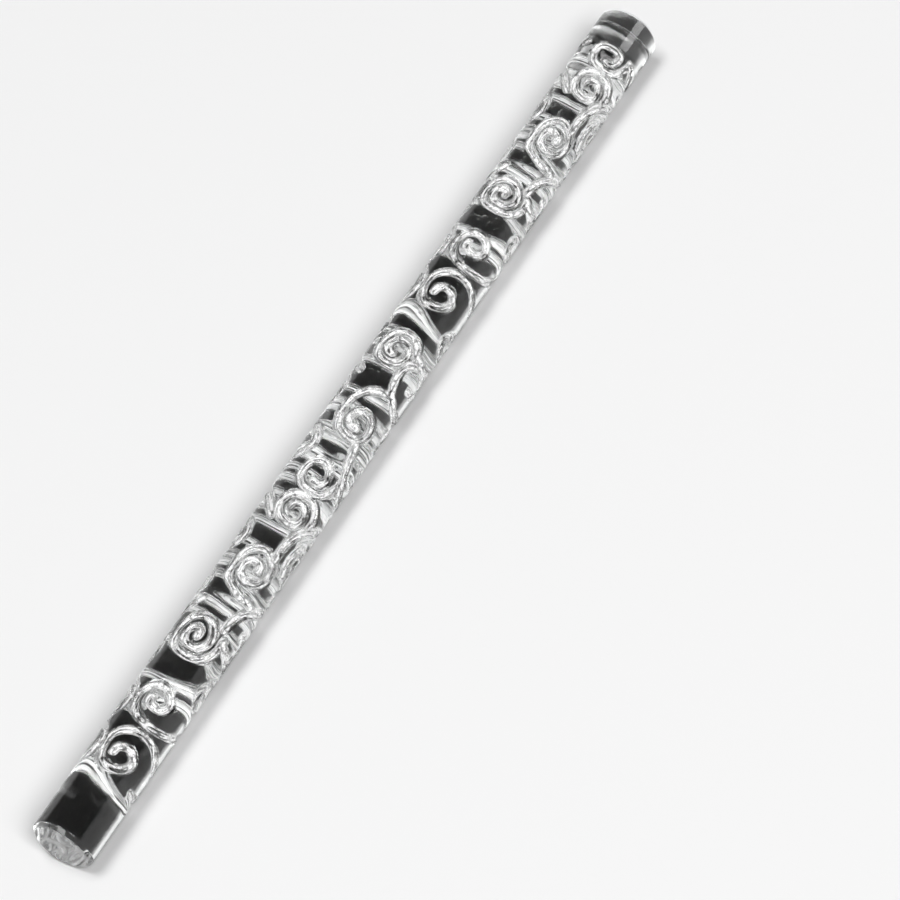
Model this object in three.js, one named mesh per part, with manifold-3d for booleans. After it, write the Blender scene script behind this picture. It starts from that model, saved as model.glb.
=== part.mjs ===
import * as THREE from 'three';
import { mergeVertices } from 'three/addons/utils/BufferGeometryUtils.js';
import Module from 'manifold-3d';

// Acrylic rolling pin: one solid rod, plain at both ends, engraved with scrolls between them.
// Millimetres. X runs along the rod, and the rod rests on z = 0.

// Rod
const rodLength = 335;
const rodDiameter = 20;
const endBevel = 1.2;
const rodSides = 20;

// Engraved middle
const nearPlainLength = 21.5;
const farPlainLength = 13.5;
const grooveWidth = 2.9;
const grooveDepth = 1.1;
const drawnOutBy = 4.6;
const drawnOutFrom = 33.5;
const drawnOutTo = 67.5;
const squeezedLength = 2.5;
const patternRepeats = 1.681;
const patternPhaseShare = 0.561;
const patternTurnShare = 0.088;
const armStep = 5;
const curlStepsPerQuarter = 2;
const shortestStroke = 4;
const flareOverrun = 0.45;
const cutOverrun = 1.2;

const rodRadius = rodDiameter / 2;
const girth = Math.PI * rodDiameter;
const engravedStart = nearPlainLength - rodLength / 2;
const engravedEnd = rodLength / 2 - farPlainLength;
const repeatLength = (engravedEnd - engravedStart) / patternRepeats;

// One repeat of the pattern. A place is a share of the repeat along the rod and a share of a
// turn round it. An arm runs through its places into a curl, which winds from one side of its
// eye, a quarter turn for each further radius, and radii are shares of the girth.
const [right, below, left, above] = [0, 1, 2, 3];
const strokeShares = [
  { arm: [[0.011, 0.368]], eye: [0.021, 0.258], side: below, winds: -1,
    radii: [0.111, 0.088, 0.089, 0.08, 0.051, 0.035, 0.027] },
  { arm: [[0.117, 0.373]], eye: [0.0955, 0.242], side: below, winds: 1,
    radii: [0.118, 0.088, 0.073, 0.08, 0.057, 0.035] },
  { arm: [[0.183, 0.315], [0.151, 0.339], [0.1265, 0.366], [0.101, 0.406], [0.0845, 0.477],
    [0.0825, 0.549], [0.097, 0.6]], eye: [0.132, 0.541], side: below, winds: -1,
    radii: [0.072, 0.077, 0.064, 0.045] },
  { arm: [[0.296, 0.337], [0.291, 0.263], [0.278, 0.204], [0.2555, 0.1655]],
    eye: [0.219, 0.263], side: above, winds: -1, radii: [0.1, 0.089, 0.076, 0.067, 0.048, 0.032] },
  { arm: [[0.296, 0.337], [0.281, 0.39], [0.275, 0.446], [0.277, 0.51], [0.2895, 0.573],
    [0.309, 0.626], [0.3315, 0.662], [0.357, 0.659], [0.382, 0.646], [0.407, 0.644]] },
  { arm: [[0.336, 0.668], [0.3135, 0.716], [0.307, 0.772], [0.3145, 0.828], [0.337, 0.872],
    [0.365, 0.885]], eye: [0.407, 0.777], side: below, winds: -1,
    radii: [0.102, 0.111, 0.075, 0.092, 0.038, 0.024] },
  { arm: [], eye: [0.38, 0.204], side: below, winds: -1,
    radii: [0.12, 0.092, 0.09, 0.089, 0.073, 0.047, 0.042] },
  { arm: [[0.2995, 0.318], [0.32, 0.298]], eye: [0.348, 0.3915], side: above, winds: 1,
    radii: [0.1, 0.086, 0.08, 0.052] },
  { arm: [[0.384, 0.337], [0.381, 0.411], [0.3915, 0.478], [0.4145, 0.533]],
    eye: [0.448, 0.4615], side: below, winds: -1, radii: [0.1, 0.073, 0.072, 0.057, 0.03] },
  { arm: [[0.5185, 0.509], [0.5375, 0.4345], [0.555, 0.355], [0.561, 0.2785], [0.556, 0.207],
    [0.539, 0.146]], eye: [0.51, 0.229], side: above, winds: -1,
    radii: [0.089, 0.076, 0.078, 0.043, 0.029] },
  { arm: [[0.5185, 0.514]], eye: [0.53, 0.608], side: above, winds: 1,
    radii: [0.086, 0.081, 0.073, 0.07] },
  { arm: [[0.517, 0.5125], [0.489, 0.53], [0.467, 0.584], [0.464, 0.66], [0.479, 0.7415],
    [0.5085, 0.7925], [0.5365, 0.8435], [0.556, 0.912]], eye: [0.5185, 0.987], side: right,
    winds: 1, radii: [0.124, 0.111, 0.113, 0.091, 0.051, 0.03] },
  { arm: [[0.673, 0.6445], [0.663, 0.589], [0.643, 0.549], [0.621, 0.514], [0.601, 0.4455],
    [0.5855, 0.363], [0.579, 0.2865], [0.582, 0.215], [0.597, 0.159]], eye: [0.625, 0.226],
    side: above, winds: 1, radii: [0.0875, 0.072, 0.07, 0.038, 0.027] },
  { arm: [[0.673, 0.6445], [0.6735, 0.7], [0.66, 0.759], [0.632, 0.789], [0.601, 0.8275],
    [0.5805, 0.891]], eye: [0.614, 0.987], side: left, winds: -1,
    radii: [0.113, 0.103, 0.116, 0.095, 0.051, 0.03, 0.025] },
  { arm: [[0.632, 0.5395]], eye: [0.604, 0.6095], side: above, winds: -1,
    radii: [0.073, 0.073, 0.07, 0.06] },
  { arm: [[0.758, 0.331]], eye: [0.743, 0.197], side: below, winds: 1,
    radii: [0.137, 0.097, 0.094, 0.09, 0.083, 0.05, 0.04, 0.04] },
  { arm: [[0.7515, 0.3405]], eye: [0.7695, 0.414], side: left, winds: -1,
    radii: [0.059, 0.062, 0.053] },
  { arm: [[0.7505, 0.339], [0.744, 0.406], [0.732, 0.4805], [0.7135, 0.536]],
    eye: [0.684, 0.465], side: below, winds: 1, radii: [0.094, 0.083, 0.076, 0.048, 0.038] },
  { arm: [[0.772, 0.3], [0.798, 0.315], [0.823, 0.366], [0.841, 0.4375]], eye: [0.876, 0.517],
    side: left, winds: -1, radii: [0.089, 0.086, 0.076, 0.064, 0.045, 0.032] },
  { arm: [[0.718, 0.6525]], eye: [0.733, 0.78], side: above, winds: 1,
    radii: [0.127, 0.207, 0.107, 0.134, 0.073, 0.046, 0.038] },
  { arm: [[0.802, 1.114], [0.7865, 1.06], [0.767, 0.995], [0.744, 0.939]], eye: [0.708, 0.99],
    side: above, winds: -1, radii: [0.076, 0.067, 0.062, 0.052, 0.032] },
  { arm: [[0.3165, 1.106], [0.3455, 1], [0.3765, 0.934], [0.4045, 0.91]], eye: [0.424, 0.987],
    side: above, winds: 1, radii: [0.073, 0.062, 0.068, 0.053, 0.03] },
  { arm: [[0.2305, 0.9], [0.231, 0.963], [0.2445, 1.023]], eye: [0.278, 0.995], side: below,
    winds: -1, radii: [0.073, 0.083, 0.054, 0.037, 0.03] },
  { arm: [[-0.006, 1.17], [0.028, 1.082], [0.0505, 1.0075], [0.073, 0.9325], [0.098, 0.89]],
    eye: [0.153, 1.0185], side: above, winds: 1, radii: [0.127, 0.108, 0.113, 0.1] },
  { arm: [[0.008, 0.676], [0.034, 0.618], [0.056, 0.583], [0.084, 0.63], [0.111, 0.694]],
    eye: [0.09, 0.788], side: right, winds: 1, radii: [0.108, 0.078, 0.067, 0.054, 0.037, 0.026] },
  { arm: [[0.2145, 0.933], [0.188, 0.885], [0.1645, 0.8245]], eye: [0.1855, 0.756], side: left,
    winds: 1, radii: [0.092, 0.062, 0.062, 0.048, 0.045, 0.025] },
  { arm: [[0.2305, 0.904], [0.254, 0.8785], [0.272, 0.8325]], eye: [0.2495, 0.764], side: right,
    winds: -1, radii: [0.084, 0.07, 0.083, 0.051, 0.03, 0.026] },
  { arm: [[0.272, 0.497], [0.253, 0.466]], eye: [0.226, 0.573], side: above, winds: -1,
    radii: [0.121, 0.119, 0.086, 0.073, 0.048, 0.032] },
  { arm: [[-0.006, 0.907], [0.011, 0.869]], eye: [0.028, 0.78], side: below, winds: -1,
    radii: [0.067, 0.057, 0.064, 0.057, 0.035, 0.025] },
  { arm: [[0.924, 0.3055], [0.966, 0.315], [1.002, 0.361], [1.0245, 0.4455], [1.03, 0.525],
    [1.022, 0.6015], [0.9995, 0.6635], [0.969, 0.694]], eye: [0.941, 0.788], side: above,
    winds: -1, radii: [0.089, 0.086, 0.076, 0.064, 0.045, 0.032] },
  { arm: [[0.896, 0.931], [0.873, 0.896]], eye: [0.8425, 0.987], side: above, winds: -1,
    radii: [0.091, 0.0875, 0.08, 0.064, 0.041, 0.032] },
  { arm: [[0.896, 0.931], [0.916, 0.917]], eye: [0.944, 1.0265], side: above, winds: 1,
    radii: [0.094, 0.089, 0.083, 0.07, 0.048, 0.033] },
  { arm: [[0.8305, 0.347]], eye: [0.8895, 0.248], side: left, winds: 1,
    radii: [0.15, 0.092, 0.112, 0.088, 0.076, 0.05, 0.038, 0.026] },
  { arm: [[0.916, 0.406], [0.935, 0.379]], eye: [0.963, 0.4775], side: above, winds: 1,
    radii: [0.092, 0.086, 0.08, 0.067, 0.045, 0.032] },
  { arm: [[0.932, 0.645], [0.898, 0.65]], eye: [0.862, 0.756], side: above, winds: -1,
    radii: [0.095, 0.089, 0.083, 0.07, 0.048, 0.033] },
];

// A place on the rod unrolled flat: millimetres along the rod and round it.
function unrolled([alongShare, turnShare]) {
  const along = engravedStart + (alongShare + patternPhaseShare) * repeatLength;
  return new THREE.Vector2(along, turnShare * girth);
}

// The pattern is drawn out a little near its start.
function drawnOut(point) {
  const from = engravedStart + drawnOutFrom;
  const to = engravedStart + drawnOutTo;
  const fade = THREE.MathUtils.smoothstep(point.x, from, to);
  return new THREE.Vector2(point.x - drawnOutBy * (1 - fade), point.y);
}

// Points of one stroke on the unrolled surface, from the arm's free end to the curl's inner end.
function strokePoints({ arm, eye, side, winds, radii }) {
  const points = [];
  const armPoints = arm.map(unrolled);
  const curlPoints = [];
  if (eye) {
    const centre = unrolled(eye);
    const quarters = radii.length - 1;
    const steps = Math.ceil(quarters * curlStepsPerQuarter);
    for (let i = 0; i <= steps; i += 1) {
      const quarter = (i / steps) * quarters;
      const whole = Math.min(Math.floor(quarter), quarters - 1);
      const radius = THREE.MathUtils.lerp(radii[whole], radii[whole + 1], quarter - whole) * girth;
      const angle = (side + winds * quarter) * Math.PI / 2;
      curlPoints.push(new THREE.Vector2(Math.cos(angle), Math.sin(angle))
        .multiplyScalar(radius).add(centre));
    }
  }
  if (armPoints.length > 0) {
    const lead = curlPoints.length > 0 ? [...armPoints, curlPoints[0]] : armPoints;
    const curve = new THREE.SplineCurve(lead);
    const spans = Math.max(1, Math.round(curve.getLength() / armStep));
    points.push(...curve.getSpacedPoints(spans));
    if (curlPoints.length > 0) points.pop();
  }
  points.push(...curlPoints);
  return points;
}

// The runs of a stroke that lie in the engraved middle. A point just outside is drawn in, and the
// last stretch before the far end is squeezed, so that a curl stays round there.
function runsInside(points) {
  const low = engravedStart + grooveWidth / 2;
  const high = engravedEnd - grooveWidth / 2;
  const runs = [[]];
  for (const point of points) {
    const beyond = Math.max(point.x - (high - squeezedLength), 0);
    const squeezed = point.x - beyond + squeezedLength * (1 - Math.exp(-beyond / squeezedLength));
    const inside = Math.max(squeezed, low);
    if (Math.abs(point.x - inside) > grooveWidth) runs.push([]);
    else runs.at(-1).push(new THREE.Vector2(inside, point.y));
  }
  return runs.filter((run) => run.length > 1 && lengthOf(run) > shortestStroke);
}

function lengthOf(run) {
  return run.slice(1).reduce((sum, point, i) => sum + point.distanceTo(run[i]), 0);
}

// A point of the unrolled surface put back on the rod, at a height over its surface.
function onRod(point, height) {
  const angle = point.y / rodRadius + patternTurnShare * 2 * Math.PI;
  const reach = rodRadius + height;
  return [point.x, reach * Math.cos(angle), rodRadius + reach * Math.sin(angle)];
}

function solidFrom(wasm, geometry) {
  const bare = geometry.clone();
  bare.deleteAttribute('normal');
  bare.deleteAttribute('uv');
  const merged = mergeVertices(bare);
  return new wasm.Manifold(new wasm.Mesh({
    numProp: 3,
    vertProperties: new Float32Array(merged.attributes.position.array),
    triVerts: new Uint32Array(merged.index.array),
  }));
}

// A cutter with a V section that follows a run, with a pointed end beyond each end of it. Its
// sides flare past the surface, and stand upright over it.
function cutterGeometry(run) {
  const halfWidth = (grooveWidth / 2) * (grooveDepth + flareOverrun) / grooveDepth;
  const positions = [];
  const faces = [];
  const directions = run.map((point, i) => {
    const before = run[Math.max(i - 1, 0)];
    const after = run[Math.min(i + 1, run.length - 1)];
    return after.clone().sub(before).normalize();
  });
  run.forEach((point, i) => {
    const across = new THREE.Vector2(-directions[i].y, directions[i].x).multiplyScalar(halfWidth);
    const one = point.clone().add(across);
    const other = point.clone().sub(across);
    positions.push(...onRod(one, cutOverrun), ...onRod(one, flareOverrun));
    positions.push(...onRod(point, -grooveDepth));
    positions.push(...onRod(other, flareOverrun), ...onRod(other, cutOverrun));
  });
  const last = run.length - 1;
  const firstTip = run[0].clone().addScaledVector(directions[0], -halfWidth);
  const lastTip = run[last].clone().addScaledVector(directions[last], halfWidth);
  positions.push(...onRod(firstTip, flareOverrun), ...onRod(lastTip, flareOverrun));
  const sides = 5;
  for (let i = 0; i < last; i += 1) {
    for (let k = 0; k < sides; k += 1) {
      const a = i * sides + k;
      const b = i * sides + (k + 1) % sides;
      faces.push(a, b, b + sides, a, b + sides, a + sides);
    }
  }
  for (let k = 0; k < sides; k += 1) {
    const next = (k + 1) % sides;
    faces.push(run.length * sides, next, k);
    faces.push(run.length * sides + 1, last * sides + k, last * sides + next);
  }
  const geometry = new THREE.BufferGeometry();
  geometry.setAttribute('position', new THREE.Float32BufferAttribute(positions, 3));
  geometry.setIndex(faces);
  return geometry;
}

// The plain rod: a prism with flats above and below, and a bevel round each end.
function plainRodGeometry() {
  const cornerRadius = rodRadius / Math.cos(Math.PI / rodSides);
  const halfLength = rodLength / 2;
  const profile = [
    new THREE.Vector2(0, -halfLength),
    new THREE.Vector2(cornerRadius - endBevel, -halfLength),
    new THREE.Vector2(cornerRadius, endBevel - halfLength),
    new THREE.Vector2(cornerRadius, halfLength - endBevel),
    new THREE.Vector2(cornerRadius - endBevel, halfLength),
    new THREE.Vector2(0, halfLength),
  ];
  const geometry = new THREE.LatheGeometry(profile, rodSides, Math.PI / rodSides);
  geometry.rotateZ(-Math.PI / 2);
  geometry.translate(0, 0, rodRadius);
  return geometry;
}

function grooveRuns() {
  const runs = [];
  const firstCopy = Math.floor(-patternPhaseShare) - 1;
  const lastCopy = Math.ceil(patternRepeats - patternPhaseShare);
  for (let copy = firstCopy; copy <= lastCopy; copy += 1) {
    const shift = new THREE.Vector2(copy * repeatLength, 0);
    for (const stroke of strokeShares) {
      const points = strokePoints(stroke).map((point) => drawnOut(point.add(shift)));
      runs.push(...runsInside(points));
    }
  }
  return runs;
}

function geometryFrom(solid) {
  const mesh = solid.getMesh();
  const geometry = new THREE.BufferGeometry();
  geometry.setAttribute('position', new THREE.BufferAttribute(mesh.vertProperties, mesh.numProp));
  geometry.setIndex(new THREE.BufferAttribute(mesh.triVerts, 1));
  const faceted = geometry.toNonIndexed();
  faceted.computeVertexNormals();
  return faceted;
}

const wasm = await Module();
wasm.setup();

const grooves = grooveRuns()
  .map((run) => solidFrom(wasm, cutterGeometry(run)))
  .reduce((all, cutter) => all.add(cutter));
const engraved = solidFrom(wasm, plainRodGeometry()).subtract(grooves);

const clearAcrylic = new THREE.MeshStandardMaterial({
  color: '#e9eeec',
  roughness: 0.08,
  metalness: 0,
  transparent: true,
  opacity: 0.5,
});

const rod = new THREE.Mesh(geometryFrom(engraved), clearAcrylic);
rod.name = 'engraved_rod';

const group = new THREE.Group();
group.name = 'acrylic_rolling_pin';
group.add(rod);

export default group;
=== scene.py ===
"""Clear acrylic rolling pin, engraved with scrolls, on a pale studio floor.

Lengths are metres in the properties and in the meshes. X runs along the rod, which rests on z = 0.
"""
import math
from typing import NamedTuple

import bpy
import numpy as np
from mathutils import Matrix, Vector


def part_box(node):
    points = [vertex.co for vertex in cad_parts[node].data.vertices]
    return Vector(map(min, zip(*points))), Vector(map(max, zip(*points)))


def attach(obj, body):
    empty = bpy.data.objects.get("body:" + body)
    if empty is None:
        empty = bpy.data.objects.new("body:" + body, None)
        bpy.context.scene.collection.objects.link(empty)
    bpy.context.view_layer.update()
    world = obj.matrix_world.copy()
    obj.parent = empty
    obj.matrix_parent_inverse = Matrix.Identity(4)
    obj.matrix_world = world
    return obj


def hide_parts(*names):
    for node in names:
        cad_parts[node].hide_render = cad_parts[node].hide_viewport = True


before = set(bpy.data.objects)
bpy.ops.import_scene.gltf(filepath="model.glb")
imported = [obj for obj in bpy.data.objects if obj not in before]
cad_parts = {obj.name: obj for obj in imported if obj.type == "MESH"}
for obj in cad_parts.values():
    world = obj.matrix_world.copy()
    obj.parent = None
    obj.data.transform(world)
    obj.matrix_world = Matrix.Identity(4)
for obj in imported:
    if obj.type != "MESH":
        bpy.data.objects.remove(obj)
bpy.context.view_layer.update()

bl_info = {
    "name": "Acrylic Rolling Pin",
    "version": (1, 0, 0),
    "blender": (4, 5, 0),
    "location": "View3D > Sidebar > Rolling Pin",
    "description": "Makes a clear acrylic rolling pin that is engraved with scrolls",
    "category": "Add Mesh",
}

ROD_NODE = "engraved_rod"
ROD_LOW, ROD_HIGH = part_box(ROD_NODE)
RIGHT, BELOW, LEFT, ABOVE = range(4)
MM = 0.001


class Stroke(NamedTuple):
    """One cut of the pattern: an arm, a curl or both.

    A place is a share of the repeat along the rod and a share of a turn round it. The arm runs
    through its places into the curl, which winds from one side of its eye, a quarter turn for each
    further radius, and radii are shares of the girth.
    """
    arm: list
    eye: list = None
    side: int = RIGHT
    winds: int = 1
    radii: list = []


class Noise(NamedTuple):
    """A noise pattern: changes in a unit of its vector, steps of finer detail, and the squeeze
    on X, Y and Z.
    """
    scale: float
    detail: float
    squeeze: tuple = (1, 1, 1)


STROKES = (
    Stroke(arm=[[0.011, 0.368]], eye=[0.021, 0.258], side=BELOW, winds=-1,
      radii=[0.111, 0.088, 0.089, 0.08, 0.051, 0.035, 0.027]),
    Stroke(arm=[[0.117, 0.373]], eye=[0.0955, 0.242], side=BELOW, winds=1,
      radii=[0.118, 0.088, 0.073, 0.08, 0.057, 0.035]),
    Stroke(arm=[[0.183, 0.315], [0.151, 0.339], [0.1265, 0.366], [0.101, 0.406], [0.0845, 0.477],
      [0.0825, 0.549], [0.097, 0.6]], eye=[0.132, 0.541], side=BELOW, winds=-1,
      radii=[0.072, 0.077, 0.064, 0.045]),
    Stroke(arm=[[0.296, 0.337], [0.291, 0.263], [0.278, 0.204], [0.2555, 0.1655]],
      eye=[0.219, 0.263], side=ABOVE, winds=-1, radii=[0.1, 0.089, 0.076, 0.067, 0.048, 0.032]),
    Stroke(arm=[[0.296, 0.337], [0.281, 0.39], [0.275, 0.446], [0.277, 0.51], [0.2895, 0.573],
      [0.309, 0.626], [0.3315, 0.662], [0.357, 0.659], [0.382, 0.646], [0.407, 0.644]]),
    Stroke(arm=[[0.336, 0.668], [0.3135, 0.716], [0.307, 0.772], [0.3145, 0.828], [0.337, 0.872],
      [0.365, 0.885]], eye=[0.407, 0.777], side=BELOW, winds=-1,
      radii=[0.102, 0.111, 0.075, 0.092, 0.038, 0.024]),
    Stroke(arm=[], eye=[0.38, 0.204], side=BELOW, winds=-1,
      radii=[0.12, 0.092, 0.09, 0.089, 0.073, 0.047, 0.042, 0.04]),
    Stroke(arm=[[0.2995, 0.318], [0.32, 0.298]], eye=[0.348, 0.3915], side=ABOVE, winds=1,
      radii=[0.1, 0.086, 0.08, 0.052]),
    Stroke(arm=[[0.384, 0.337], [0.381, 0.411], [0.3915, 0.478], [0.4145, 0.533]],
      eye=[0.448, 0.4615], side=BELOW, winds=-1, radii=[0.1, 0.073, 0.072, 0.057, 0.03]),
    Stroke(arm=[[0.5185, 0.509], [0.5375, 0.4345], [0.555, 0.355], [0.561, 0.2785], [0.556, 0.207],
      [0.539, 0.146]], eye=[0.51, 0.229], side=ABOVE, winds=-1,
      radii=[0.089, 0.076, 0.078, 0.043, 0.029]),
    Stroke(arm=[[0.5185, 0.514]], eye=[0.53, 0.608], side=ABOVE, winds=1,
      radii=[0.086, 0.081, 0.073, 0.07]),
    Stroke(arm=[[0.517, 0.5125], [0.489, 0.53], [0.467, 0.584], [0.464, 0.66], [0.479, 0.7415],
      [0.5085, 0.7925], [0.5365, 0.8435], [0.556, 0.912]], eye=[0.5185, 0.987], side=RIGHT,
      winds=1, radii=[0.124, 0.111, 0.113, 0.091, 0.051, 0.03]),
    Stroke(arm=[[0.673, 0.6445], [0.663, 0.589], [0.643, 0.549], [0.621, 0.514], [0.601, 0.4455],
      [0.5855, 0.363], [0.579, 0.2865], [0.582, 0.215], [0.597, 0.159]], eye=[0.625, 0.226],
      side=ABOVE, winds=1, radii=[0.0875, 0.072, 0.07, 0.038, 0.027]),
    Stroke(arm=[[0.673, 0.6445], [0.6735, 0.7], [0.66, 0.759], [0.632, 0.789], [0.601, 0.8275],
      [0.5805, 0.891]], eye=[0.614, 0.987], side=LEFT, winds=-1,
      radii=[0.113, 0.103, 0.116, 0.095, 0.051, 0.03, 0.025]),
    Stroke(arm=[[0.632, 0.5395]], eye=[0.604, 0.6095], side=ABOVE, winds=-1,
      radii=[0.073, 0.073, 0.07, 0.06]),
    Stroke(arm=[[0.758, 0.331]], eye=[0.743, 0.197], side=BELOW, winds=1,
      radii=[0.137, 0.097, 0.094, 0.09, 0.083, 0.052, 0.042, 0.03, 0.018]),
    Stroke(arm=[[0.7515, 0.3405]], eye=[0.7695, 0.414], side=LEFT, winds=-1,
      radii=[0.059, 0.062, 0.053]),
    Stroke(arm=[[0.7505, 0.339], [0.744, 0.406], [0.732, 0.4805], [0.7135, 0.536]],
      eye=[0.684, 0.465], side=BELOW, winds=1, radii=[0.094, 0.083, 0.076, 0.048, 0.038]),
    Stroke(arm=[[0.772, 0.3], [0.798, 0.315], [0.823, 0.366], [0.841, 0.4375]], eye=[0.876, 0.517],
      side=LEFT, winds=-1, radii=[0.089, 0.086, 0.076, 0.064, 0.045, 0.032]),
    Stroke(arm=[[0.718, 0.6525]], eye=[0.733, 0.78], side=ABOVE, winds=1,
      radii=[0.127, 0.207, 0.107, 0.134, 0.073, 0.046, 0.038]),
    Stroke(arm=[[0.802, 1.114], [0.7865, 1.06], [0.767, 0.995], [0.744, 0.939]], eye=[0.708, 0.99],
      side=ABOVE, winds=-1, radii=[0.076, 0.067, 0.062, 0.052, 0.032]),
    Stroke(arm=[[0.3165, 1.106], [0.3455, 1], [0.3765, 0.934], [0.4045, 0.91]], eye=[0.424, 0.987],
      side=ABOVE, winds=1, radii=[0.073, 0.062, 0.068, 0.053, 0.03]),
    Stroke(arm=[[0.2305, 0.9], [0.231, 0.963], [0.2445, 1.023]], eye=[0.278, 0.995], side=BELOW,
      winds=-1, radii=[0.073, 0.083, 0.054, 0.037, 0.03]),
    Stroke(arm=[[-0.006, 1.17], [0.028, 1.082], [0.0505, 1.0075], [0.073, 0.9325], [0.098, 0.89]],
      eye=[0.153, 1.0185], side=ABOVE, winds=1, radii=[0.127, 0.108, 0.113, 0.1]),
    Stroke(arm=[[0.008, 0.676], [0.034, 0.618], [0.056, 0.583], [0.084, 0.63], [0.111, 0.694]],
      eye=[0.09, 0.788], side=RIGHT, winds=1, radii=[0.108, 0.078, 0.067, 0.054, 0.037, 0.026]),
    Stroke(arm=[[0.2145, 0.933], [0.188, 0.885], [0.1645, 0.8245]], eye=[0.1855, 0.756], side=LEFT,
      winds=1, radii=[0.092, 0.062, 0.062, 0.048, 0.045, 0.025]),
    Stroke(arm=[[0.2305, 0.904], [0.254, 0.8785], [0.272, 0.8325]], eye=[0.2495, 0.764], side=RIGHT,
      winds=-1, radii=[0.084, 0.07, 0.083, 0.051, 0.03, 0.026]),
    Stroke(arm=[[0.272, 0.497], [0.253, 0.466]], eye=[0.226, 0.573], side=ABOVE, winds=-1,
      radii=[0.121, 0.119, 0.086, 0.073, 0.048, 0.032]),
    Stroke(arm=[[-0.006, 0.907], [0.011, 0.869]], eye=[0.028, 0.78], side=BELOW, winds=-1,
      radii=[0.067, 0.057, 0.064, 0.057, 0.035, 0.025]),
    Stroke(arm=[[0.924, 0.3055], [0.966, 0.315], [1.002, 0.361], [1.0245, 0.4455], [1.03, 0.525],
      [1.022, 0.6015], [0.9995, 0.6635], [0.969, 0.694]], eye=[0.941, 0.788], side=ABOVE,
      winds=-1, radii=[0.089, 0.086, 0.076, 0.064, 0.045, 0.032]),
    Stroke(arm=[[0.896, 0.931], [0.873, 0.896]], eye=[0.8425, 0.987], side=ABOVE, winds=-1,
      radii=[0.091, 0.0875, 0.08, 0.064, 0.041, 0.032]),
    Stroke(arm=[[0.896, 0.931], [0.916, 0.917]], eye=[0.944, 1.0265], side=ABOVE, winds=1,
      radii=[0.094, 0.089, 0.083, 0.07, 0.048, 0.033]),
    Stroke(arm=[[0.8305, 0.347]], eye=[0.8895, 0.248], side=LEFT, winds=1,
      radii=[0.15, 0.092, 0.112, 0.088, 0.076, 0.05, 0.038, 0.026]),
    Stroke(arm=[[0.916, 0.406], [0.935, 0.379]], eye=[0.963, 0.4775], side=ABOVE, winds=1,
      radii=[0.092, 0.086, 0.08, 0.067, 0.045, 0.032]),
    Stroke(arm=[[0.932, 0.645], [0.898, 0.65]], eye=[0.862, 0.756], side=ABOVE, winds=-1,
      radii=[0.095, 0.089, 0.083, 0.07, 0.048, 0.033]),
)


class RodSettings(bpy.types.PropertyGroup):
    """Sizes and finish of the rod."""

    length: bpy.props.FloatProperty(
        name="Length", description="Length of the rod from end to end",
        default=ROD_HIGH.x - ROD_LOW.x, min=0.1, unit="LENGTH")
    diameter: bpy.props.FloatProperty(
        name="Diameter", description="Thickness of the rod",
        default=ROD_HIGH.z - ROD_LOW.z, min=0.005, unit="LENGTH")
    end_bevel: bpy.props.FloatProperty(
        name="End bevel", description="Width of the bevel round each end",
        default=1.2 * MM, min=0.0005, unit="LENGTH")
    corner_radius: bpy.props.FloatProperty(
        name="Polished corner", description="How far each corner of the bevel is polished round",
        default=0.25 * MM, min=0.0001, unit="LENGTH")
    near_plain: bpy.props.FloatProperty(
        name="Plain near end", description="Length left plain at the near end",
        default=21.5 * MM, min=0, unit="LENGTH")
    far_plain: bpy.props.FloatProperty(
        name="Plain far end", description="Length left plain at the far end",
        default=13.5 * MM, min=0, unit="LENGTH")
    groove_width: bpy.props.FloatProperty(
        name="Groove width", description="Width of a groove at the rod's surface",
        default=2.9 * MM, min=0.0005, unit="LENGTH")
    groove_depth: bpy.props.FloatProperty(
        name="Groove depth", description="Depth of a groove at its middle",
        default=1.1 * MM, min=0.0001, unit="LENGTH")
    chatter_pitch: bpy.props.FloatProperty(
        name="Chatter pitch", description="Distance between the marks that the cutter leaves",
        default=0.9 * MM, min=0.0001, unit="LENGTH")
    pattern_repeats: bpy.props.FloatProperty(
        name="Repeats", description="How often the pattern repeats along the engraved middle",
        default=1.681, min=0.5)
    pattern_phase: bpy.props.FloatProperty(
        name="Pattern start", description="Share of a repeat by which the pattern is moved along",
        default=0.561, subtype="FACTOR")
    pattern_turn: bpy.props.FloatProperty(
        name="Pattern turn", description="Share of a turn by which the pattern is turned",
        default=0.088, subtype="FACTOR")
    acrylic_colour: bpy.props.FloatVectorProperty(
        name="Acrylic", description="Colour of the clear acrylic",
        default=(0.975, 0.985, 0.98), size=3, min=0, max=1, subtype="COLOR")
    cut_colour: bpy.props.FloatVectorProperty(
        name="Cut acrylic", description="Colour of the frosted acrylic in the grooves",
        default=(1.0, 1.0, 1.0), size=3, min=0, max=1, subtype="COLOR")
    polish_roughness: bpy.props.FloatProperty(
        name="Polished roughness", description="Roughness of the polished surface",
        default=0.02, min=0, max=1, subtype="FACTOR")
    cut_roughness: bpy.props.FloatProperty(
        name="Cut roughness", description="Roughness of the grooves",
        default=0.06, min=0, max=1, subtype="FACTOR")


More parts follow.
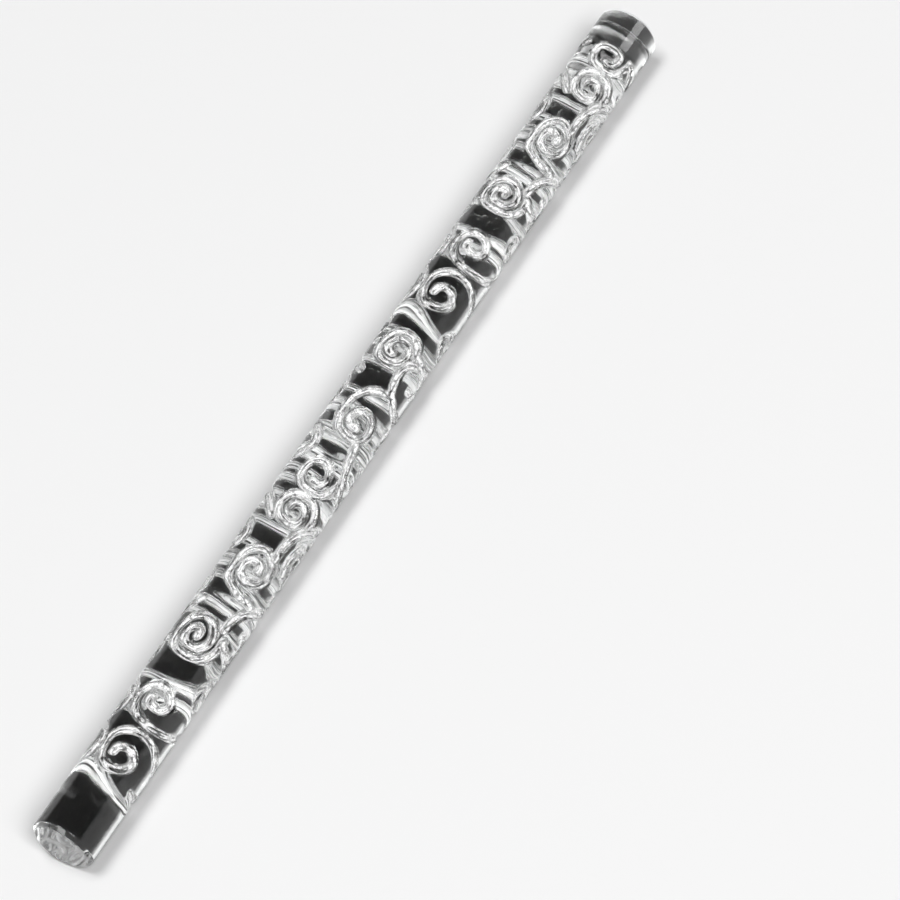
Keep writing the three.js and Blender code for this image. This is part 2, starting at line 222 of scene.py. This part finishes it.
class StageSettings(bpy.types.PropertyGroup):
    """The floor, the backdrop, the lamps and the camera."""

    floor_size: bpy.props.FloatProperty(
        name="Floor size", description="Side of the floor", default=6.0, min=1, unit="LENGTH")
    floor_colour: bpy.props.FloatVectorProperty(
        name="Floor", description="Colour of the floor",
        default=(0.9, 0.9, 0.9), size=3, min=0, max=1, subtype="COLOR")
    backdrop_light: bpy.props.FloatProperty(
        name="Backdrop light", description="Light that the backdrop gives to matt surfaces",
        default=0.02, min=0)
    ceiling_light: bpy.props.FloatProperty(
        name="Ceiling light", description="Brightness of the dark ceiling over the backdrop",
        default=0.06, min=0)
    key_power: bpy.props.FloatProperty(
        name="Key lamp", description="Power of the large lamp at the front",
        default=740.0, min=0, unit="POWER")
    key_size: bpy.props.FloatProperty(
        name="Key size", description="Side of the large lamp at the front",
        default=4.0, min=0.01, unit="LENGTH")
    top_power: bpy.props.FloatProperty(
        name="Top lamp", description="Power of the lamp overhead",
        default=120.0, min=0, unit="POWER")
    top_size: bpy.props.FloatProperty(
        name="Top size", description="Side of the lamp overhead",
        default=2.0, min=0.01, unit="LENGTH")
    window_power: bpy.props.FloatProperty(
        name="Window lamp", description="Power of the small lamp that gives the long gleam",
        default=8.0, min=0, unit="POWER")
    aim: bpy.props.FloatVectorProperty(
        name="Aim", description="Place that the camera looks at",
        default=(-0.878 * MM, -32.867 * MM, 10 * MM), size=3, subtype="XYZ", unit="LENGTH")
    distance: bpy.props.FloatProperty(
        name="Distance", description="Distance of the camera from its aim",
        default=1.48753, min=0.1, unit="LENGTH")
    azimuth: bpy.props.FloatProperty(
        name="Azimuth", description="Way that the camera faces, turned from +Y",
        default=math.radians(-44.4127), subtype="ANGLE")
    elevation: bpy.props.FloatProperty(
        name="Elevation", description="Height of the camera over the horizon",
        default=math.radians(48.6052), subtype="ANGLE")
    roll: bpy.props.FloatProperty(
        name="Roll", description="Turn of the camera round its own axis",
        default=math.radians(-19.4153), subtype="ANGLE")
    lens: bpy.props.FloatProperty(
        name="Lens", description="Focal length of the camera", default=200.407, min=1,
        unit="CAMERA")


# Pattern
DRAWN_OUT_BY = 4.6 * MM
DRAWN_OUT_FROM = 33.5 * MM
DRAWN_OUT_TO = 67.5 * MM
SQUEEZED_LENGTH = 2.5 * MM
CURL_KNOTS_PER_QUARTER = 2
STROKE_STEP = 0.4 * MM
SHORTEST_STROKE = 4 * MM

# Grid
AROUND = 140
ALONG_STEP = 0.46 * MM
PLAIN_STEP = 2.2 * MM
FACE_STEP = 1.8 * MM
CORNER_RINGS = 5
REACH = 3.6 * MM
SNAP_SHARE = 0.45
GROOVE_ROUNDNESS = 0.75

# Stage
FLOOR_LINES = 3
KEY_PLACE = (-3.0, -6.0, 7.2)
TOP_PLACE = (-0.4, 0.3, 5.0)
WINDOW_PLACE = (1.36, -1.2, 0.85)
WINDOW_SIZE = (0.5, 0.9)
WINDOW_ROLL = math.radians(-25)
CAMERA_RANGE = 20
CEILING_RISE = (0.2, 0.4)
CEILING_SIDE = (0.15, 0.35)

# Noise patterns of the acrylic, and how fast the tracks of the cutter change across and along it
NOISE_ROUGHNESS = 0.6
GRAIN = Noise(1800, 3)
WANDER = Noise(260, 2)
SCRATCHES = Noise(60, 5, (1, 14, 14))
CHIPS = Noise(900, 2)
TRACKS = Noise(1, 2)
TRACK_ACROSS = 3
TRACK_ALONG = 220
CHATTER_WANDER = 6

# Ramps of the acrylic, each from low to high, with the values there where they aren't 0 and 1
CUT_RAMP = (0.9, 1.02, 1.0, 0.0)
GROOVE_FLOOR_RAMP = (0.7, 0.95, 1.0, 0.1)
STREAK_RAMP = (0.45, 0.55)
# Where the painted shade goes: the gaps between the cutter's streaks
PAINTED_SHADE_RAMP = (0.38, 0.47, 1.0, 0.0)
CHIP_RAMP = (0.52, 0.64, 1.0, 0.2)
SCRATCH_RAMP = (0.62, 0.78)
END_FROM = 0.3 * MM
END_TO = 0.05 * MM

# Colour, roughness, relief and whiteness of the acrylic
IOR = 1.49
# Painted shade: a near-black base colour in the gaps between streaks, standing in for dark
# reflections
PAINTED_SHADE_COLOUR = (0.02, 0.02, 0.02, 1)
PAINTED_SHADE_STRENGTH = 0.9
SCRATCH_ROUGHNESS = 0.05
END_ROUGHNESS = 0.07
GRAIN_ROUGHNESS = 0.1
CHATTER_ROUGHNESS = 0.03
FROST_ROUGHNESS = 0.6
RELIEF_DEPTH = 0.12 * MM
CHATTER_RELIEF = 0.15
GRAIN_RELIEF = 0.25
TRACK_RELIEF = 1.1
INSIDE_WHITE = 0.55
STREAK_WHITE = 0.85
LEAST_WHITE = 0.08

# Sockets of a Mix node for colours, whose names the node uses more than once
COLOUR_A = 6
COLOUR_B = 7
COLOUR_RESULT = 2


def eased(value, low, high):
    """0 below low, 1 above high, and 3t^2 - 2t^3 between, where t is the share of the way."""
    share = np.clip((value - low) / (high - low), 0, 1)
    return share * share * (3 - 2 * share)


def smooth_path(knots, step):
    """Points on a smooth line through the knots, about a step apart.

    Each span is a cubic Hermite curve over its chord's length, and the slope at a knot is the mean
    of its two chords' slopes, each weighted by the other's length.
    """
    chords = np.diff(knots, axis=0)
    lengths = np.hypot(*chords.T)
    slopes = chords / lengths[:, None]
    before = np.concatenate([lengths[:1], lengths])[:, None]
    after = np.concatenate([lengths, lengths[-1:]])[:, None]
    slope_before = np.concatenate([slopes[:1], slopes])
    slope_after = np.concatenate([slopes, slopes[-1:]])
    at_knot = (slope_before * after + slope_after * before) / (before + after)
    places = np.concatenate([[0], np.cumsum(lengths)])
    samples = np.linspace(0, places[-1], max(2, round(places[-1] / step) + 1))
    span = np.clip(np.searchsorted(places, samples, side="right") - 1, 0, len(lengths) - 1)
    share = ((samples - places[span]) / lengths[span])[:, None]
    width = lengths[span][:, None]
    start, end = knots[span], knots[span + 1]
    rise, fall = at_knot[span] * width, at_knot[span + 1] * width
    return ((2 * share**3 - 3 * share**2 + 1) * start + (share**3 - 2 * share**2 + share) * rise
            + (3 * share**2 - 2 * share**3) * end + (share**3 - share**2) * fall)


class Unrolled:
    """The rod's surface unrolled flat: metres along the rod, and metres round it."""

    def __init__(self, rod):
        self.radius = rod.diameter / 2
        self.girth = math.pi * rod.diameter
        self.start = rod.near_plain - rod.length / 2
        self.end = rod.length / 2 - rod.far_plain
        self.repeat = (self.end - self.start) / rod.pattern_repeats
        self.phase = rod.pattern_phase
        self.repeats = rod.pattern_repeats
        self.turn = rod.pattern_turn * 2 * math.pi
        self.half_groove = rod.groove_width / 2

    def place(self, share):
        """A stroke's place, from its two shares."""
        return [self.start + (share[0] + self.phase) * self.repeat, share[1] * self.girth]

    def knots(self, stroke):
        """The arm's places, then the curl: the eye plus a radius that turns a quarter at a time."""
        arm = np.array([self.place(share) for share in stroke.arm]).reshape(-1, 2)
        if stroke.eye is None:
            return arm
        quarters = len(stroke.radii) - 1
        quarter = np.linspace(0, quarters, math.ceil(quarters * CURL_KNOTS_PER_QUARTER) + 1)
        radius = np.interp(quarter, range(quarters + 1), stroke.radii) * self.girth
        angle = (stroke.side + stroke.winds * quarter) * math.pi / 2
        curl = np.stack([np.cos(angle), np.sin(angle)], axis=1) * radius[:, None]
        return np.concatenate([arm, curl + self.place(stroke.eye)])

    def drawn_out(self, path):
        """The path moved towards the start, by less and less from one place to another."""
        fade = eased(path[:, 0], self.start + DRAWN_OUT_FROM, self.start + DRAWN_OUT_TO)
        return path - np.stack([DRAWN_OUT_BY * (1 - fade), np.zeros(len(path))], axis=1)

    def inside(self, path):
        """The stretches of a path in the engraved middle, with points just outside drawn in.

        The last stretch before the far end is squeezed: a place that lies d past the start of it
        moves to k(1 - e^(-d/k)) past it, where k is the stretch's length.
        """
        last_start = self.end - self.half_groove - SQUEEZED_LENGTH
        past = np.maximum(path[:, 0] - last_start, 0)
        squeezed = path[:, 0] - past + SQUEEZED_LENGTH * (1 - np.exp(-past / SQUEEZED_LENGTH))
        held = np.maximum(squeezed, self.start + self.half_groove)
        kept = np.abs(path[:, 0] - held) <= 2 * self.half_groove
        edges = np.flatnonzero(np.diff(np.concatenate([[0], kept, [0]])))
        drawn_in = np.stack([held, path[:, 1]], axis=1)
        stretches = [drawn_in[first:last] for first, last in edges.reshape(-1, 2)]
        return [run for run in stretches
                if np.hypot(*np.diff(run, axis=0).T).sum() > SHORTEST_STROKE]

    def runs(self):
        """Every groove's middle line, for all the repeats."""
        found = []
        first = math.floor(-self.phase) - 1
        last = math.ceil(self.repeats - self.phase)
        for stroke in STROKES:
            path = smooth_path(self.knots(stroke), STROKE_STEP)
            for copy in range(first, last + 1):
                found += self.inside(self.drawn_out(path + [copy * self.repeat, 0]))
        return found

    def nearest(self, along, around):
        """For each point of the grid, the nearest point of any run.

        The answer is the distance to it, the direction from it, as a unit vector, and how far it
        lies along its run. A point that no run comes near keeps the distance REACH.
        """
        shape = (len(along), len(around))
        distance = np.full(shape, REACH)
        direction = np.zeros(shape + (2,))
        run_length = np.zeros(shape)
        for run in self.runs():
            rows = np.flatnonzero((along > run[:, 0].min() - REACH)
                                  & (along < run[:, 0].max() + REACH))
            if len(rows) == 0:
                continue
            steps = np.diff(run, axis=0)
            lengths = np.hypot(*steps.T)
            places = np.concatenate([[0], np.cumsum(lengths)[:-1]])
            off_along = along[rows][:, None, None] - run[:-1, 0]
            off_around = around[None, :, None] - run[:-1, 1]
            off_around = (off_around + self.girth / 2) % self.girth - self.girth / 2
            share = (off_along * steps[:, 0] + off_around * steps[:, 1]) / lengths**2
            share = np.clip(share, 0, 1)
            away_along = off_along - share * steps[:, 0]
            away_around = off_around - share * steps[:, 1]
            apart = np.hypot(away_along, away_around)
            best = np.expand_dims(np.argmin(apart, axis=2), 2)
            gap = np.take_along_axis(apart, best, 2)[..., 0]
            away = np.stack([np.take_along_axis(away_along, best, 2)[..., 0],
                             np.take_along_axis(away_around, best, 2)[..., 0]], axis=2)
            place = np.take_along_axis(places + share * lengths, best, 2)[..., 0]
            nearer = gap < distance[rows]
            distance[rows] = np.where(nearer, gap, distance[rows])
            run_length[rows] = np.where(nearer, place, run_length[rows])
            unit = away / np.maximum(gap, 1e-9)[..., None]
            direction[rows] = np.where(nearer[..., None], unit, direction[rows])
        return distance, direction, run_length


def rod_outline(rod):
    """Half the rod's outline, as places along it and radii, from one end's middle to the other's.

    The end faces and plain ends have few rings. Each corner of a bevel is a quadratic curve
    between two points a corner radius from it.
    """
    radius = rod.diameter / 2
    half = rod.length / 2
    corners = np.array([[-half, radius - rod.end_bevel], [rod.end_bevel - half, radius]])
    before = np.array([[-half, 0], corners[0]])
    after = np.array([corners[1], [0, radius]])
    share = np.linspace(0, 1, CORNER_RINGS)[:, None]
    rounded = []
    for corner, back, ahead in zip(corners, before, after):
        first = corner + (back - corner) / np.linalg.norm(back - corner) * rod.corner_radius
        last = corner + (ahead - corner) / np.linalg.norm(ahead - corner) * rod.corner_radius
        rounded.append((1 - share)**2 * first + 2 * share * (1 - share) * corner + share**2 * last)
    face_radius = rounded[0][0, 1]
    face = np.linspace(0, face_radius, round(face_radius / FACE_STEP) + 1)[1:-1]
    near_end = np.concatenate([np.stack([np.full(len(face), -half), face], axis=1), *rounded])
    far_end = near_end[::-1] * [-1, 1]
    start = rod.near_plain - half
    end = half - rod.far_plain
    near_plain = np.linspace(near_end[-1, 0], start, round(rod.near_plain / PLAIN_STEP) + 1)[1:-1]
    engraved = np.linspace(start, end, round((end - start) / ALONG_STEP) + 1)
    far_plain = np.linspace(end, far_end[0, 0], round(rod.far_plain / PLAIN_STEP) + 1)[1:-1]
    side = np.concatenate([near_plain, engraved, far_plain])
    side = np.stack([side, np.full(len(side), radius)], axis=1)
    return np.concatenate([near_end, side, far_end])


def ring_faces(rings, around):
    """Faces of a closed skin over rings of points, whose last two points are its two poles."""
    ring = np.arange(rings - 1)[:, None] * around
    spot = np.arange(around)
    beside = (spot + 1) % around
    quads = np.stack([ring + spot, ring + beside, ring + around + beside, ring + around + spot],
                     axis=2).reshape(-1, 4)
    last_ring = (rings - 1) * around
    near_pole = np.stack([np.full(around, rings * around), beside, spot], axis=1)
    far_pole = np.stack([np.full(around, rings * around + 1), last_ring + spot,
                         last_ring + beside], axis=1)
    return quads, np.concatenate([near_pole, far_pole])


def mesh_from(name, points, quads, triangles):
    """A smooth mesh, from arrays of points and of faces."""
    corners = np.concatenate([quads.ravel(), triangles.ravel()]).astype(np.int32)
    sizes = np.concatenate([np.full(len(quads), 4), np.full(len(triangles), 3)])
    starts = np.concatenate([[0], np.cumsum(sizes)[:-1]]).astype(np.int32)
    mesh = bpy.data.meshes.new(name)
    mesh.vertices.add(len(points))
    mesh.vertices.foreach_set("co", points.astype(np.float32).ravel())
    mesh.loops.add(len(corners))
    mesh.loops.foreach_set("vertex_index", corners)
    mesh.polygons.add(len(sizes))
    mesh.polygons.foreach_set("loop_start", starts)
    mesh.polygons.foreach_set("use_smooth", np.ones(len(sizes), bool))
    mesh.update(calc_edges=True)
    return mesh


def give_values(mesh, name, values):
    """Keeps one number for each point of the mesh, for its material to read."""
    mesh.attributes.new(name, "FLOAT", "POINT").data.foreach_set(
        "value", values.astype(np.float32).ravel())


def engraved_mesh(rod):
    """The rod's skin, as rings of points round its axis.

    The grid is a place along the rod and a turn round it. A groove sinks the skin by its depth
    times (1 - s^2)^k, where s is the distance to its middle line over half its width. Points close
    to the lip of a groove are moved onto it, so that the lip is a clean line.
    """
    flat = Unrolled(rod)
    outline = rod_outline(rod)
    around = np.arange(AROUND) * (flat.girth / AROUND)
    distance, direction, run_length = flat.nearest(outline[:, 0], around)
    on_side = outline[:, 1] == flat.radius
    engraved = on_side & (outline[:, 0] > flat.start) & (outline[:, 0] < flat.end)
    distance[~engraved] = REACH
    to_lip = flat.half_groove - distance
    snapped = np.abs(to_lip) < SNAP_SHARE * ALONG_STEP
    move = np.where(snapped, to_lip, 0)[..., None] * direction
    distance = np.where(snapped, flat.half_groove, distance)
    share = distance / flat.half_groove
    sunk = rod.groove_depth * np.clip(1 - share**2, 0, 1)**GROOVE_ROUNDNESS
    place = outline[:, :1] + move[..., 0]
    angle = (around[None] + move[..., 1]) / flat.radius + flat.turn
    reach = outline[:, 1:] - sunk
    points = np.stack([place, reach * np.cos(angle), flat.radius + reach * np.sin(angle)], axis=2)
    poles = [[-rod.length / 2, 0, flat.radius], [rod.length / 2, 0, flat.radius]]
    quads, triangles = ring_faces(len(outline), AROUND)
    mesh = mesh_from("engraved_rod_skin", np.concatenate([points.reshape(-1, 3), poles]),
                     quads, triangles)
    at_poles = [REACH / flat.half_groove] * 2
    give_values(mesh, "groove_share", np.concatenate([share.ravel(), at_poles]))
    give_values(mesh, "groove_run", np.concatenate([run_length.ravel(), [0, 0]]))
    return mesh


class Figure:
    """A shader value. Python's signs on it add Math nodes to its tree."""

    def __init__(self, tree, socket):
        self.tree = tree
        self.socket = socket

    def maths(self, operation, *values):
        """A Math node of the operation on the values."""
        made = add_node(self.tree, "ShaderNodeMath", {"operation": operation},
                        dict(enumerate(values)))
        return Figure(self.tree, made.outputs[0])

    def __add__(self, other):
        return self.maths("ADD", self, other)

    def __sub__(self, other):
        return self.maths("SUBTRACT", self, other)

    def __rsub__(self, other):
        return self.maths("SUBTRACT", other, self)

    def __mul__(self, other):
        return self.maths("MULTIPLY", self, other)

    __radd__ = __add__
    __rmul__ = __mul__


def add_node(tree, kind, settings, sockets):
    """A node of a kind. Its settings come first, then the values or links of its sockets."""
    node = tree.nodes.new(kind)
    for name, value in settings.items():
        setattr(node, name, value)
    for name, value in sockets.items():
        if isinstance(value, Figure):
            value = value.socket
        if isinstance(value, bpy.types.NodeSocket):
            tree.links.new(value, node.inputs[name])
        else:
            node.inputs[name].default_value = value
    return node


def fresh_tree(owner):
    """The owner's node tree, emptied."""
    owner.use_nodes = True
    owner.node_tree.nodes.clear()
    return owner.node_tree


def ramp(value, low, high, bottom=0.0, top=1.0):
    """A smooth step: bottom where the value is low or less, and top where it is high or more."""
    node = add_node(value.tree, "ShaderNodeMapRange", {"interpolation_type": "SMOOTHSTEP"},
                    {"Value": value, "From Min": low, "From Max": high,
                     "To Min": bottom, "To Max": top})
    return Figure(value.tree, node.outputs["Result"])


def noise(vector, pattern):
    """The value of a noise pattern at a vector."""
    mapping = add_node(vector.tree, "ShaderNodeMapping", {"vector_type": "POINT"},
                       {"Vector": vector, "Scale": pattern.squeeze})
    node = add_node(vector.tree, "ShaderNodeTexNoise", {"noise_dimensions": "3D"},
                    {"Vector": mapping.outputs["Vector"], "Scale": pattern.scale,
                     "Detail": pattern.detail, "Roughness": NOISE_ROUGHNESS})
    return Figure(vector.tree, node.outputs["Fac"])


def mixed(share, first, second):
    """A colour that goes from the first to the second as the share goes from 0 to 1."""
    node = add_node(share.tree, "ShaderNodeMix", {"data_type": "RGBA"},
                    {"Factor": share, COLOUR_A: first, COLOUR_B: second})
    return node.outputs[COLOUR_RESULT]


def acrylic(rod):
    """Clear acrylic, polished where it is plain and frosted by the cutter in the grooves.

    In a groove, the chatter is a sine wave along the cut and the tracks are noise drawn out along
    it. They whiten the frost in streaks and give the relief, and the gaps between the streaks get a
    painted shade: a near-black colour that stands in for the dark reflections of the cut. The end
    faces are a little rougher than the side.
    """
    material = bpy.data.materials.new("clear_acrylic")
    tree = fresh_tree(material)

    def read(kind, output, settings):
        """What a node without inputs reads from the mesh."""
        return Figure(tree, add_node(tree, kind, settings, {}).outputs[output])

    place = read("ShaderNodeTexCoord", "Object", {})
    share = read("ShaderNodeAttribute", "Fac", {"attribute_name": "groove_share"})
    run = read("ShaderNodeAttribute", "Fac", {"attribute_name": "groove_run"})
    inside = read("ShaderNodeNewGeometry", "Backfacing", {})
    cut = ramp(share, *CUT_RAMP)
    grain = noise(place, GRAIN)
    wander = noise(place, WANDER)
    phase = run * (2 * math.pi / rod.chatter_pitch) + wander * CHATTER_WANDER
    chatter = phase.maths("SINE", phase) * 0.5 + 0.5
    along_cut = add_node(tree, "ShaderNodeCombineXYZ", {},
                         {"X": share * TRACK_ACROSS, "Y": run * TRACK_ALONG, "Z": wander})
    track = noise(Figure(tree, along_cut.outputs["Vector"]), TRACKS)
    streaks = ramp(track, *STREAK_RAMP)
    # Painted shade: the gaps between the streaks are tinted near-black, in place of the dark that
    # the cut reflects
    painted_shade = ramp(track, *PAINTED_SHADE_RAMP) * cut
    colour = mixed(cut, (*rod.acrylic_colour, 1), (*rod.cut_colour, 1))
    colour = mixed(painted_shade * PAINTED_SHADE_STRENGTH, colour, PAINTED_SHADE_COLOUR)
    scratches = ramp(noise(place, SCRATCHES), *SCRATCH_RAMP)
    split = add_node(tree, "ShaderNodeSeparateXYZ", {}, {"Vector": place})
    along = Figure(tree, split.outputs["X"])
    half = rod.length / 2
    end = ramp(along.maths("ABSOLUTE", along), half - END_FROM, half - END_TO)
    polished = scratches * SCRATCH_ROUGHNESS + end * END_ROUGHNESS + rod.polish_roughness
    frosted = grain * GRAIN_ROUGHNESS + chatter * CHATTER_ROUGHNESS + rod.cut_roughness
    roughness = polished + cut * (frosted - polished)
    relief = cut * (chatter * CHATTER_RELIEF + grain * GRAIN_RELIEF + track * TRACK_RELIEF)
    bump = add_node(tree, "ShaderNodeBump", {},
                    {"Strength": 1.0, "Distance": RELIEF_DEPTH, "Height": relief})
    clear = add_node(tree, "ShaderNodeBsdfPrincipled", {},
                     {"Base Color": colour, "Roughness": roughness, "IOR": IOR,
                      "Transmission Weight": 1.0, "Normal": bump.outputs["Normal"]})
    frost = add_node(tree, "ShaderNodeBsdfPrincipled", {},
                     {"Base Color": colour, "Roughness": FROST_ROUGHNESS, "IOR": IOR,
                      "Metallic": inside, "Normal": bump.outputs["Normal"]})
    chips = ramp(noise(place, CHIPS), *CHIP_RAMP)
    groove_floor = ramp(share, *GROOVE_FLOOR_RAMP)
    streaked = groove_floor * (streaks * STREAK_WHITE + LEAST_WHITE) * chips
    whitened = cut * (inside * INSIDE_WHITE + streaked)
    skin = add_node(tree, "ShaderNodeMixShader", {},
                    dict(enumerate((whitened, clear.outputs["BSDF"], frost.outputs["BSDF"]))))
    add_node(tree, "ShaderNodeOutputMaterial", {}, {"Surface": skin.outputs["Shader"]})
    return material


def matt(name, colour):
    """A plain matt finish."""
    material = bpy.data.materials.new(name)
    tree = fresh_tree(material)
    skin = add_node(tree, "ShaderNodeBsdfPrincipled", {},
                    {"Base Color": (*colour, 1), "Roughness": 0.9, "Specular IOR Level": 0.1})
    add_node(tree, "ShaderNodeOutputMaterial", {}, {"Surface": skin.outputs["BSDF"]})
    return material


def studio_world(stage):
    """A backdrop for the camera, gloss and glass, and a dimmer light for matt surfaces.

    The backdrop is white, apart from a dark ceiling that fades in upwards and towards +X.
    """
    world = bpy.data.worlds.new("studio_backdrop")
    tree = fresh_tree(world)
    ray = add_node(tree, "ShaderNodeLightPath", {}, {})
    camera = Figure(tree, ray.outputs["Is Camera Ray"])
    glossy = Figure(tree, ray.outputs["Is Glossy Ray"])
    through = Figure(tree, ray.outputs["Is Transmission Ray"])
    seen = camera.maths("MINIMUM", camera + glossy + through, 1.0)
    facing = add_node(tree, "ShaderNodeTexCoord", {}, {}).outputs["Generated"]
    facing = add_node(tree, "ShaderNodeSeparateXYZ", {}, {"Vector": facing})
    ceiling = (ramp(Figure(tree, facing.outputs["Z"]), *CEILING_RISE)
               * ramp(Figure(tree, facing.outputs["X"]), *CEILING_SIDE))
    backdrop = 1 - ceiling * (1 - stage.ceiling_light)
    strength = seen * (backdrop - stage.backdrop_light) + stage.backdrop_light
    background = add_node(tree, "ShaderNodeBackground", {},
                          {"Color": (1, 1, 1, 1), "Strength": strength})
    add_node(tree, "ShaderNodeOutputWorld", {}, {"Surface": background.outputs["Background"]})
    return world


def floor_mesh(size):
    """A flat square of a few lines each way, whose middle lies at the origin."""
    side = np.linspace(-0.5, 0.5, FLOOR_LINES) * size
    across, deep = np.meshgrid(side, side)
    points = np.stack([across, deep, np.zeros_like(across)], axis=2).reshape(-1, 3)
    cell = np.arange(FLOOR_LINES - 1)
    corner = cell[:, None] * FLOOR_LINES + cell
    quads = np.stack([corner, corner + 1, corner + FLOOR_LINES + 1, corner + FLOOR_LINES],
                     axis=2).reshape(-1, 4)
    return mesh_from("floor_sheet", points, quads, np.empty((0, 3), int))


def link(name, data):
    """An object at the origin, in the scene's own collection."""
    made = bpy.data.objects.new(name, data)
    bpy.context.scene.collection.objects.link(made)
    return made


class ROLLINGPIN_OT_engraved_rod(bpy.types.Operator):
    """Make the engraved acrylic rod"""

    bl_idname = "rolling_pin.engraved_rod"
    bl_label = "Engraved Rod"

    def execute(self, context):
        rod = context.scene.rolling_pin_rod
        mesh = engraved_mesh(rod)
        if mesh.validate():
            raise RuntimeError("the rod's skin has faulty faces")
        mesh.materials.append(acrylic(rod))
        piece = link("engraved_acrylic_rod", mesh)
        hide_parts(ROD_NODE)
        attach(piece, "root")
        return {"FINISHED"}


class ROLLINGPIN_OT_stage(bpy.types.Operator):
    """Set the floor, the backdrop, the lamps and the camera"""

    bl_idname = "rolling_pin.stage"
    bl_label = "Studio Stage"

    def execute(self, context):
        stage = context.scene.rolling_pin_stage
        mesh = floor_mesh(stage.floor_size)
        mesh.materials.append(matt("pale_floor", stage.floor_colour))
        link("studio_floor", mesh)
        context.scene.world = studio_world(stage)
        self.lamp("key_lamp", stage.key_power, (stage.key_size, stage.key_size), KEY_PLACE)
        self.lamp("top_lamp", stage.top_power, (stage.top_size, stage.top_size), TOP_PLACE)
        window = self.lamp("window_lamp", stage.window_power, WINDOW_SIZE, WINDOW_PLACE, WINDOW_ROLL)
        # It shows as a gleam alone, and lights nothing matt.
        window.visible_diffuse = False
        camera = bpy.data.cameras.new("photo_camera")
        camera.lens = stage.lens
        camera.clip_end = CAMERA_RANGE
        eye = link("photo_camera", camera)
        level = math.cos(stage.elevation)
        back = Vector((math.sin(stage.azimuth) * level, -math.cos(stage.azimuth) * level,
                       math.sin(stage.elevation)))
        upright = back.to_track_quat("Z", "Y").to_matrix().to_4x4()
        turned = upright @ Matrix.Rotation(stage.roll, 4, "Z")
        eye.matrix_world = Matrix.Translation(Vector(stage.aim) + back * stage.distance) @ turned
        context.scene.camera = eye
        return {"FINISHED"}

    def lamp(self, name, power, size, place, roll=0.0):
        """A lamp with an oblong face that looks at the origin, rolled round the line to it."""
        light = bpy.data.lights.new(name, "AREA")
        light.energy = power
        light.shape = "RECTANGLE"
        light.size, light.size_y = size
        made = link(name, light)
        facing = Vector(place).to_track_quat("Z", "Y").to_matrix().to_4x4()
        made.matrix_world = Matrix.Translation(place) @ facing @ Matrix.Rotation(roll, 4, "Z")
        return made


class ROLLINGPIN_PT_sidebar(bpy.types.Panel):
    """The pieces and the stage, with their sizes"""

    bl_idname = "ROLLINGPIN_PT_sidebar"
    bl_label = "Acrylic Rolling Pin"
    bl_space_type = "VIEW_3D"
    bl_region_type = "UI"
    bl_category = "Rolling Pin"

    def draw(self, context):
        groups = ((context.scene.rolling_pin_rod, ROLLINGPIN_OT_engraved_rod),
                  (context.scene.rolling_pin_stage, ROLLINGPIN_OT_stage))
        for settings, operator in groups:
            box = self.layout.box()
            for name in settings.bl_rna.properties.keys():
                if name not in ("rna_type", "name"):
                    box.prop(settings, name)
            box.operator(operator.bl_idname)


CLASSES = (RodSettings, StageSettings, ROLLINGPIN_OT_engraved_rod, ROLLINGPIN_OT_stage,
           ROLLINGPIN_PT_sidebar)


def register():
    for kind in CLASSES:
        bpy.utils.register_class(kind)
    bpy.types.Scene.rolling_pin_rod = bpy.props.PointerProperty(type=RodSettings)
    bpy.types.Scene.rolling_pin_stage = bpy.props.PointerProperty(type=StageSettings)


def unregister():
    del bpy.types.Scene.rolling_pin_stage
    del bpy.types.Scene.rolling_pin_rod
    for kind in reversed(CLASSES):
        bpy.utils.unregister_class(kind)


def main():
    register()
    bpy.context.scene.view_settings.view_transform = "Standard"
    bpy.context.scene.cycles.caustics_refractive = False
    bpy.context.scene.cycles.caustics_reflective = False
    bpy.ops.rolling_pin.stage()
    bpy.ops.rolling_pin.engraved_rod()


if __name__ == "__main__":
    main()
